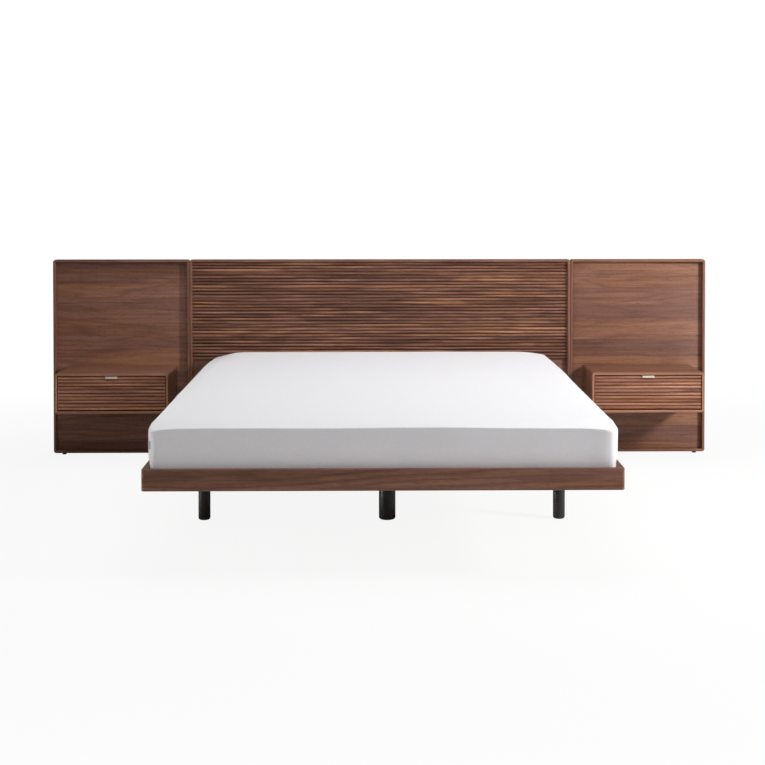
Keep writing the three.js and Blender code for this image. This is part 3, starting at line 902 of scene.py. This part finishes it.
def plan_ring(inset, z):
    """One rounded rectangle of the loft, anticlockwise from the foot's right corner."""
    half_x = (mattress_high.x - mattress_low.x) / 2 - inset
    half_y = (mattress_high.y - mattress_low.y) / 2 - inset
    centre = (mattress_low + mattress_high) / 2
    points = []
    corners = (
        (1, -1, -90, STEPS_ALONG), (1, 1, 0, STEPS_ACROSS),
        (-1, 1, 90, STEPS_ALONG), (-1, -1, 180, STEPS_ACROSS),
    )
    for number, (sx, sy, start, straight) in enumerate(corners):
        radius = corner_radius(sy, inset, half_x)
        cx, cy = sx * (half_x - radius), sy * (half_y - radius)
        turns = [math.radians(start + 90 * k / STEPS_TURN) for k in range(STEPS_TURN + 1)]
        arc = [(cx + radius * math.cos(turn), cy + radius * math.sin(turn)) for turn in turns]
        points += arc
        nx, ny, next_start, _ = corners[(number + 1) % 4]
        radius = corner_radius(ny, inset, half_x)
        goal = (nx * (half_x - radius) + radius * math.cos(math.radians(next_start)),
                ny * (half_y - radius) + radius * math.sin(math.radians(next_start)))
        for k in range(1, straight):
            t = k / straight
            points.append((arc[-1][0] * (1 - t) + goal[0] * t, arc[-1][1] * (1 - t) + goal[1] * t))
    return [Vector((centre.x + x, centre.y + y, z)) for x, y in points]


def loft_levels():
    """(inset, height, panel) of each ring, from the middle of the top to the middle of the bottom."""
    low, high = mattress_low.z + BOTTOM_SETBACK, mattress_high.z - TOP_SETBACK
    levels = [(inset * MM, high, "top") for inset in TOP_INSETS]
    for degrees in np.linspace(0, 90, 7):
        a = math.radians(degrees)
        inset = START_INSET + TOP_EDGE * (1 - math.sin(a))
        levels.append((inset, high - TOP_EDGE * (1 - math.cos(a)), "top edge"))
    for z in np.linspace(high - TOP_EDGE, low + BOTTOM_EDGE, 9)[1:-1]:
        levels.append((START_INSET, z, "side"))
    for degrees in np.linspace(0, 90, 6):
        a = math.radians(degrees)
        inset = START_INSET + BOTTOM_EDGE * (1 - math.cos(a))
        levels.append((inset, low + BOTTOM_EDGE * (1 - math.sin(a)), "bottom edge"))
    levels += [(inset * MM, low, "bottom") for inset in BOTTOM_INSETS]
    return levels


print("rings in the loft", len(loft_levels()))

# %% Mattress loft
def loft(name, material):
    """The closed block. Returns the object, every vertex's ring number and the points in a ring."""
    bm = bmesh.new()
    rings, numbers = [], []
    for number, (inset, z, panel) in enumerate(loft_levels()):
        rings.append([bm.verts.new(point) for point in plan_ring(inset, z)])
        numbers += [number] * len(rings[-1])
    count = len(rings[0])
    for upper, lower in zip(rings, rings[1:]):
        for i in range(count):
            j = (i + 1) % count
            bm.faces.new((upper[j], upper[i], lower[i], lower[j]))
    for ring, flip in ((rings[0], False), (rings[-1], True)):
        bm.faces.new(ring[::-1] if flip else ring)
    bmesh.ops.triangulate(bm, faces=[f for f in bm.faces if len(f.verts) > 4])
    return to_object(bm, name, material), np.array(numbers), count


core, ring_numbers, ring_size = loft("mattress_core", core_cloth)
panels = [panel for _, _, panel in loft_levels()]
print("mattress core", len(core.data.vertices), "points in", len(panels), "rings")

# %% Mattress swelling
FIRM_SWELL = {"top": 7 * MM, "top edge": 1.5 * MM, "side": 7 * MM, "bottom edge": 1 * MM, "bottom": 0.3 * MM}
RAIL_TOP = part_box("side_rail_left")[1].z
SWELL_FRAMES = 20
SWELL = {
    "quality": 4, "mass": 0.4, "tension_stiffness": 30, "compression_stiffness": 30, "bending_stiffness": 2,
    "use_pressure": True, "uniform_pressure_force": 4,
}


def points_of(mesh):
    """A mesh's points as an array."""
    flat = np.empty(len(mesh.vertices) * 3, np.float32)
    mesh.vertices.foreach_get("co", flat)
    return flat.reshape(-1, 3).astype(float)


def set_points(mesh, points):
    """Moves a mesh's points to those of an array."""
    mesh.vertices.foreach_set("co", points.astype(np.float32).ravel())
    mesh.update()


def simulate_swell(made, held):
    """Runs the cloth with pressure inside it. The held vertices are the seams."""
    group = made.vertex_groups.new(name="seams")
    for index, weight in enumerate(held):
        group.add([index], float(weight), "REPLACE")
    modifier = made.modifiers.new("swell", "CLOTH")
    for setting, value in SWELL.items():
        setattr(modifier.settings, setting, value)
    modifier.settings.vertex_group_mass = "seams"
    modifier.settings.effector_weights.gravity = 0
    modifier.collision_settings.use_collision = False
    modifier.point_cache.frame_start, modifier.point_cache.frame_end = 1, SWELL_FRAMES
    for number in range(1, SWELL_FRAMES + 1):
        scene.frame_set(number)
    graph = bpy.context.evaluated_depsgraph_get()
    swollen = points_of(made.evaluated_get(graph).data)
    made.modifiers.clear()
    made.vertex_groups.clear()
    scene.frame_set(1)
    return swollen


rest_points = points_of(core.data)
limits = np.array([FIRM_SWELL[panels[n]] for n in ring_numbers])
seam = np.array([1.0 if "edge" in panels[n] else 0.0 for n in ring_numbers])
moved = simulate_swell(core, seam) - rest_points
length = np.linalg.norm(moved, axis=1)
share = np.where(length > 1e-9, limits / np.maximum(limits + length, 1e-9), 0)
moved = moved * share[:, None]
print("swelling, largest in mm", round(float(np.linalg.norm(moved, axis=1).max()) / MM, 1))

# %% [markdown]
# ## Settling
# A foam block in a tight cover is nowhere quite square. Its two middles lie flat, its ends roll over a
# little, each corner settles by its own amount, and its waist is held clear of the rails that it stands
# between and eases out above them.

# %% Mattress soft shape
CORNER_DROOP = {(-1, 1): 21 * MM, (1, 1): 9 * MM, (-1, -1): 5 * MM, (1, -1): 9 * MM}
DROOP_ACROSS = 62 * MM
DROOP_ALONG = {1: 560 * MM, -1: 110 * MM}
HEAD_ROLL, HEAD_ROLL_REACH = 13 * MM, 85 * MM
FOOT_ROLL, FOOT_ROLL_REACH = 5 * MM, 110 * MM
WAIST_BLEND = 36 * MM
WAIST_RISE = 2 * MM
FOOT_WAVINESS = 0.9


def smooth_step(value):
    """Runs softly from 0 to 1."""
    t = np.clip(value, 0, 1)
    return t * t * (3 - 2 * t)


def hold_waist(points, play, side_reach, foot_reach):
    """Keeps the block clear of the rails, and eases out above them."""
    free = smooth_step((points[:, 2] - RAIL_TOP - WAIST_RISE) / WAIST_BLEND)
    side = play + side_reach * free
    points[:, 0] = np.clip(points[:, 0], mattress_low.x - side, mattress_high.x + side)
    points[:, 1] = np.maximum(points[:, 1], mattress_low.y - play - foot_reach * free)
    return points


def soften(points):
    """Flattens the two middles, rolls the ends over and lets the corners settle a little."""
    for panel, rings in (("top", (0, 1)), ("bottom", (len(panels) - 2, len(panels) - 1))):
        inner = np.isin(ring_numbers, rings)
        points[inner, 2] = points[inner, 2].mean()
    height = np.clip((points[:, 2] - mattress_low.z) / (mattress_high.z - mattress_low.z), 0, 1) ** 2
    waviness = np.array([noise.noise(Vector((x * 2.3, 4.1, 0.7))) for x in points[:, 0]])
    head = smooth_step((points[:, 1] - mattress_high.y + HEAD_ROLL_REACH) / HEAD_ROLL_REACH)
    foot = smooth_step((mattress_low.y + FOOT_ROLL_REACH - points[:, 1]) / FOOT_ROLL_REACH)
    points[:, 2] -= height * (HEAD_ROLL * head + FOOT_ROLL * foot * (1 + FOOT_WAVINESS * waviness))
    for (side, end), drop in CORNER_DROOP.items():
        edge = mattress_high.x if side > 0 else mattress_low.x
        tip = mattress_high.y if end > 0 else mattress_low.y
        along = smooth_step(1 - abs(points[:, 1] - tip) / DROOP_ALONG[end])
        points[:, 2] -= drop * along * np.exp(-((points[:, 0] - edge) / DROOP_ACROSS) ** 2) * height
    return points


def close_middle(made, rings):
    """Draws the innermost ring of each given end in to a line, in place of its flat cap."""
    bm = open_mesh(made.data)
    middle_y = (mattress_low.y + mattress_high.y) / 2
    reach = (mattress_high.y - mattress_low.y) / 2 - (mattress_high.x - mattress_low.x) / 2
    for ring in rings:
        bm.verts.ensure_lookup_table()
        inner = [bm.verts[i] for i in range(ring * ring_size, (ring + 1) * ring_size)]
        picked = set(inner)
        caps = [f for f in {f for v in inner for f in v.link_faces} if picked.issuperset(f.verts)]
        bmesh.ops.delete(bm, geom=caps, context="FACES_ONLY")
        level = sum(vertex.co.z for vertex in inner) / len(inner)
        for vertex in inner:
            y = rest_points[vertex.index][1]
            vertex.co = (0, min(max(y, middle_y - reach), middle_y + reach), level)
        bmesh.ops.remove_doubles(bm, verts=inner, dist=0.2 * MM)
    bmesh.ops.recalc_face_normals(bm, faces=bm.faces)
    return put_back(bm, made)


core_points = hold_waist(soften(rest_points + moved), 0.2 * MM, 8 * MM, 1.5 * MM)
set_points(core.data, core_points)
print("top of the core", round(float(core_points[:, 2].max()), 4))

# %% [markdown]
# ## Cover
# A fitted cover is one flat sheet with four corner seams and an elastic hem. Stretched over the
# mattress it follows the block, with a little slack that shows as soft waves along the top edge and
# short folds near the corners. It is the core's outer skin, moved out by its own thickness, with those
# waves added, and it stops two fingers' width in under the mattress, where the hem holds it.

# %% Cover
COVER_THICKNESS = 1.0 * MM
COVER_RINGS = panels.index("bottom") + 2
COVER_GAP = 0.4 * MM
DEEPEST_SLACK = -0.2 * MM
FLOOR_GAP = 0.05 * MM
CORNER_REACH = 0.16
BROAD_WAVES = 1.3 * MM
CORNER_FOLDS = 2.6 * MM
SIDE_WAVES = 1.2 * MM
EDGE_WAVES = 1.8 * MM


def waver(x, y, z):
    """Smooth noise at a place, from about -1 to 1."""
    return noise.noise(Vector((x, y, z)))


def slack(point, panel):
    """How far the cover stands off the block at a point."""
    x, y, z = point
    near_x = min(abs(x - mattress_low.x), abs(x - mattress_high.x))
    near_y = min(abs(y - mattress_low.y), abs(y - mattress_high.y))
    corner = math.exp(-((near_x ** 2 + near_y ** 2) ** 0.5 / CORNER_REACH) ** 2)
    height = (z - mattress_low.z) / (mattress_high.z - mattress_low.z)
    waves = waver(x * 3.1, y * 3.1, z * 4.0) * BROAD_WAVES
    if panel == "side" or "edge" in panel:
        along = x + y
        waves += waver(along * 24, height * 1.2, 3.7) * corner * CORNER_FOLDS
        waves += waver(along * 5.5, height * 1.6, 9.1) * SIDE_WAVES
    if panel == "top edge":
        waves += waver(x * 4.2, y * 4.2, 1.3) * EDGE_WAVES
    return waves


def make_cover():
    """The core's skin down to the hem, moved out by the cloth's thickness and a little slack."""
    bm = open_mesh(core.data)
    bm.verts.ensure_lookup_table()
    bm.normal_update()
    spots = [(v.co.copy(), v.normal.copy()) for v in bm.verts]
    for index, vertex in enumerate(bm.verts):
        point, way = spots[index]
        panel = panels[ring_numbers[index]]
        off = COVER_THICKNESS + COVER_GAP
        if panel != "bottom" and ring_numbers[index] > 1:
            off += max(slack(point, panel), DEEPEST_SLACK)
        vertex.co = point + way * off
        vertex.co.z = max(vertex.co.z, mattress_low.z + FLOOR_GAP)
    gone = [v for v in bm.verts if v.index >= COVER_RINGS * ring_size]
    bmesh.ops.delete(bm, geom=gone, context="VERTS")
    made = to_object(bm, "mattress_cover", knit)
    set_points(made.data, hold_waist(points_of(made.data), 1.5 * MM, 14 * MM, 9 * MM))
    close_middle(made, [0])
    finer = made.modifiers.new("finer", "SUBSURF")
    finer.levels = finer.render_levels = 1
    finer.boundary_smooth = "PRESERVE_CORNERS"
    return settle(made)


cover = make_cover()
edge_ring = [Vector(p) for p in core_points[(COVER_RINGS - 1) * ring_size: COVER_RINGS * ring_size]]
close_middle(core, [len(panels) - 1, 0])
thick = cover.modifiers.new("cloth", "SOLIDIFY")
thick.thickness = COVER_THICKNESS
thick.offset = -1
settle(cover)
smooth = core.modifiers.new("finer", "SUBSURF")
smooth.levels = smooth.render_levels = 1
settle(core)
print("cover faces", len(cover.data.polygons), "core faces", len(core.data.polygons))

# %% Hem
HEM_RADIUS = 1.6 * MM


def tube(name, points, radius, material, sides=8):
    """A closed tube along a closed ring of points."""
    bm = bmesh.new()
    rings = []
    for i, point in enumerate(points):
        ahead = (points[(i + 1) % len(points)] - points[i - 1]).normalized()
        across = ahead.cross(Vector((0, 0, 1))).normalized()
        up = across.cross(ahead)
        rings.append([bm.verts.new(point + (across * math.cos(t) + up * math.sin(t)) * radius)
                      for t in np.linspace(0, math.tau, sides, endpoint=False)])
    skin(bm, rings + rings[:1])
    bmesh.ops.recalc_face_normals(bm, faces=bm.faces)
    return to_object(bm, name, material)


hem_line = [Vector((p.x, p.y, mattress_low.z + HEM_RADIUS + FLOOR_GAP)) for p in edge_ring]
hem = tube("cover_hem", hem_line, HEM_RADIUS, knit)
print("hem of", len(hem_line), "points")

# %% [markdown]
# ## Label
# A small plain label is sewn to the cover near its left corner at the foot. It could be a flat strip,
# but it has to follow the round of the corner, so rays sent at the finished cover find its points.

# %% Label
LABEL_DROP, LABEL_HEIGHT = 53.6 * MM, 27 * MM
LABEL_TURNS = (-8, 38)
LABEL_GAP, LABEL_THICKNESS = 0.9 * MM, 0.6 * MM
LABEL_START = 0.3


def make_label():
    """A small plain label, sewn to the cover round its left corner at the foot."""
    surface = BVHTree.FromObject(cover, bpy.context.evaluated_depsgraph_get())
    corner = Vector((mattress_low.x + FOOT_CORNER, mattress_low.y + FOOT_CORNER, 0))
    bm = bmesh.new()
    rows = []
    top = mattress_high.z - LABEL_DROP
    for z in np.linspace(top - LABEL_HEIGHT, top, 6):
        row = []
        for turn in np.linspace(*LABEL_TURNS, 14):
            way = Vector((-math.cos(math.radians(turn)), -math.sin(math.radians(turn)), 0))
            start = Vector((corner.x, corner.y, z)) + way * LABEL_START
            hit, normal, _, _ = surface.ray_cast(start, -way)
            row.append(bm.verts.new(hit + normal * LABEL_GAP))
        rows.append(row)
    for low, high in zip(rows, rows[1:]):
        for i in range(len(low) - 1):
            bm.faces.new((low[i + 1], low[i], high[i], high[i + 1]))
    bmesh.ops.recalc_face_normals(bm, faces=bm.faces)
    made = to_object(bm, "cover_label", label_cloth)
    body = made.modifiers.new("cloth", "SOLIDIFY")
    body.thickness = LABEL_THICKNESS
    body.offset = 0
    return settle(made)


label = make_label()
for piece in (core, cover, hem, label):
    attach(piece, "mattress_body")
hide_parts("mattress")

# %% [markdown]
# ## Small hardware
# Screws and the balls in the runners are small and many, so trees place them. One screw head with a
# six-lobed socket is made once and set on points that know which way they face.

# %% Screw head and tree
# Each ring of the head: its radius and height in millimetres, and whether it is lobed.
HEAD_RINGS = (
    (4.2, 0.0, False), (4.2, 0.7, False), (3.3, 1.7, False),
    (2.1, 2.1, False), (1.9, 2.1, True), (1.9, 0.9, True),
)
HEAD_SIDES = 12
LOBE_DEPTH = 0.78


def screw_head():
    """A low pan head with a six-lobed socket, its seat on z = 0."""
    bm = bmesh.new()
    rings = []
    for radius, z, lobed in HEAD_RINGS:
        ring = []
        for i in range(HEAD_SIDES):
            r = radius * (LOBE_DEPTH if lobed and i % 2 else 1.0)
            t = math.tau * i / HEAD_SIDES
            ring.append(bm.verts.new((r * MM * math.cos(t), r * MM * math.sin(t), z * MM)))
        rings.append(ring)
    skin(bm, rings)
    bm.faces.new(rings[-1])
    bm.faces.new(reversed(rings[0]))
    bmesh.ops.recalc_face_normals(bm, faces=bm.faces)
    head = to_object(bm, "screw_pattern", steel)
    scene.collection.objects.unlink(head)
    return head


def screw_tree():
    """Sets a head on every point, turned to its facing and spun by chance."""
    tree, given, names = group_tree("screws", [
        ("Head", "Object"), ("Size", "Float"), ("Seed", "Int"), ("Finish", "Material"),
    ])
    facing = put(tree, "GeometryNodeInputNamedAttribute", {"Name": "facing"}, data_type="FLOAT_VECTOR")
    turn = put(tree, "FunctionNodeAlignRotationToVector", {"Vector": facing.outputs[0]}, axis="Z")
    angle = random_of(tree, "FLOAT", 0.0, math.tau, given["Seed"])
    local = put(tree, "FunctionNodeAxisAngleToRotation", {"Axis": (0, 0, 1), "Angle": angle})
    turns = {0: turn.outputs[0], 1: local.outputs[0]}
    both = put(tree, "FunctionNodeRotateRotation", turns, rotation_space="LOCAL")
    head = put(tree, "GeometryNodeObjectInfo", {"Object": given["Head"]})
    spots = put(tree, "GeometryNodeInstanceOnPoints", {
        "Points": given["Geometry"], "Instance": head.outputs["Geometry"],
        "Rotation": both.outputs[0], "Scale": given["Size"],
    })
    end_tree(tree, spots.outputs[0], given["Finish"])
    return tree, names


HEAD = screw_head()
SCREW_TREE, SCREW_NAMES = screw_tree()
print("one screw head of", len(HEAD.data.polygons), "faces")


def screws(name, body, spots, size, seed):
    """Screw heads at (point, facing) pairs, as one plain mesh."""
    made = empty_object(name, [point for point, _ in spots])
    facing = made.data.attributes.new("facing", "FLOAT_VECTOR", "POINT")
    facing.data.foreach_set("vector", [c for _, way in spots for c in way])
    values = {"Head": HEAD, "Size": size, "Seed": seed, "Finish": steel}
    grow(SCREW_TREE, SCREW_NAMES, made, values)
    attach(made, body)
    return made

# %% Slat screws
SLAT_SCREW_SINK = 1.85 * MM
SLAT_SCREW_SIZE, PANEL_SCREW_SIZE = 0.9, 0.85
spots = []
ledge_low, ledge_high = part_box("slat_ledge_right")
ledge_x = (ledge_low.x + ledge_high.x) / 2
for name in slats:
    low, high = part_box(name)
    for x in (-ledge_x, 0, ledge_x):
        for y in (low.y * 0.75 + high.y * 0.25, low.y * 0.25 + high.y * 0.75):
            spots.append(((x, y, high.z - SLAT_SCREW_SINK), (0, 0, 1)))
screws("slat_screws", "bed", spots, SLAT_SCREW_SIZE, 3)
print("slat screws", len(spots))

# %% Screws in the backs of the panels
BACK_SCREW_STEP = 0.24
BACK_SCREW_INSET = 16 * MM
RAIL_SCREW_STEP, RAIL_SCREW_INSET, RAIL_SCREW_DROP = 0.35, 60 * MM, 20 * MM
CASE_SCREW_STEP, CASE_SCREW_INSET, CASE_SCREW_DROP = 0.2, 40 * MM, 35 * MM
BACK_SCREW_SINK = 0.05 * MM


def even_steps(low, high, step):
    """Places from low to high with about one step between them."""
    return np.linspace(low, high, max(2, round((high - low) / step) + 1))


def held_by(node, step, inset, drop):
    """The places, across and up, of two rows of screws that hold a node from behind."""
    low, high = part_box(node)
    return even_steps(low.x + inset, high.x - inset, step), (low.z + drop, high.z - drop)


for side in ("left", "centre", "right"):
    low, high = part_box(f"{side}_panel")
    x0, x1 = low.x + BACK_SCREW_INSET, high.x - BACK_SCREW_INSET
    z0, z1 = low.z + BACK_SCREW_INSET, high.z - BACK_SCREW_INSET
    spots = [(x, z) for x in even_steps(x0, x1, BACK_SCREW_STEP) for z in (z0, z1)]
    spots += [(x, z) for z in even_steps(z0, z1, BACK_SCREW_STEP)[1:-1] for x in (x0, x1)]
    if side == "centre":
        held_x, held_z = held_by("head_rail", RAIL_SCREW_STEP, RAIL_SCREW_INSET, RAIL_SCREW_DROP)
    else:
        case_back = f"{side}_case_back"
        held_x, held_z = held_by(case_back, CASE_SCREW_STEP, CASE_SCREW_INSET, CASE_SCREW_DROP)
    spots += [(x, z) for x in held_x for z in held_z]
    backs = [((x, high.y - BACK_SCREW_SINK, z), (0, 1, 0)) for x, z in spots]
    screws(f"{side}_panel_screws", "bed", backs, PANEL_SCREW_SIZE, 5)
    print(side, "panel screws", len(spots))

# %% [markdown]
# ## Runner balls
# A full-extension runner is three nested channels with rows of steel balls between them. A row is even
# and straight, so a tree repeats one point along the runner and sets a ball of few faces on each copy.

# %% Runner balls
BALL_COUNT = 12
BALL_RADIUS = 0.85 * MM
BALL_PITCH = 14 * MM
BALL_START = 30 * MM
RACE_GAP = 0.9 * MM
RACE_STEP = 3.0 * MM
OUTER_RACE, INNER_RACE = 5.6 * MM, 7.3 * MM


def ball_tree():
    """Repeats each point in a row along the runner, and sets a ball on every point."""
    tree, given, names = group_tree("runner balls", [
        ("Count", "Int"), ("Pitch", "Float"), ("Radius", "Float"), ("Finish", "Material"),
    ])
    many = put(tree, "GeometryNodeDuplicateElements", {
        "Geometry": put(tree, "GeometryNodeMeshToPoints", {0: given["Geometry"]}).outputs[0],
        "Amount": given["Count"],
    }, domain="POINT")
    away = calc(tree, "MULTIPLY", many.outputs["Duplicate Index"], given["Pitch"])
    step = put(tree, "ShaderNodeCombineXYZ", {1: away})
    row = put(tree, "GeometryNodeSetPosition", {"Geometry": many.outputs[0], "Offset": step.outputs[0]})
    ball = put(tree, "GeometryNodeMeshUVSphere", {"Segments": 10, "Rings": 6, "Radius": given["Radius"]})
    spots = put(tree, "GeometryNodeInstanceOnPoints", {"Points": row.outputs[0], "Instance": ball.outputs[0]})
    end_tree(tree, spots.outputs[0], given["Finish"])
    return tree, names


BALL_TREE, BALL_NAMES = ball_tree()
for side in ("left", "right"):
    starts = []
    for wall, sign in (("west", 1), ("east", -1)):
        fixed_low, fixed_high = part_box(f"{side}_runner_fixed_{wall}")
        middle_low, middle_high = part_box(f"{side}_runner_middle_{wall}")
        wall_x = fixed_low.x if sign > 0 else fixed_high.x
        z = (fixed_low.z + fixed_high.z) / 2
        y = middle_low.y + BALL_START
        outer = (middle_high.z - middle_low.z) / 2 + RACE_GAP
        for race, off in ((OUTER_RACE, outer), (INNER_RACE, outer - RACE_STEP)):
            starts += [(wall_x + sign * race, y, z + way * off) for way in (1, -1)]
    balls = empty_object(f"{side}_runner_balls", starts)
    values = {"Count": BALL_COUNT, "Pitch": BALL_PITCH, "Radius": BALL_RADIUS, "Finish": steel}
    shade_smooth(grow(BALL_TREE, BALL_NAMES, balls, values))
    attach(balls, f"{side}_middle_runners")
    print(side, "runner balls", len(starts) * BALL_COUNT)
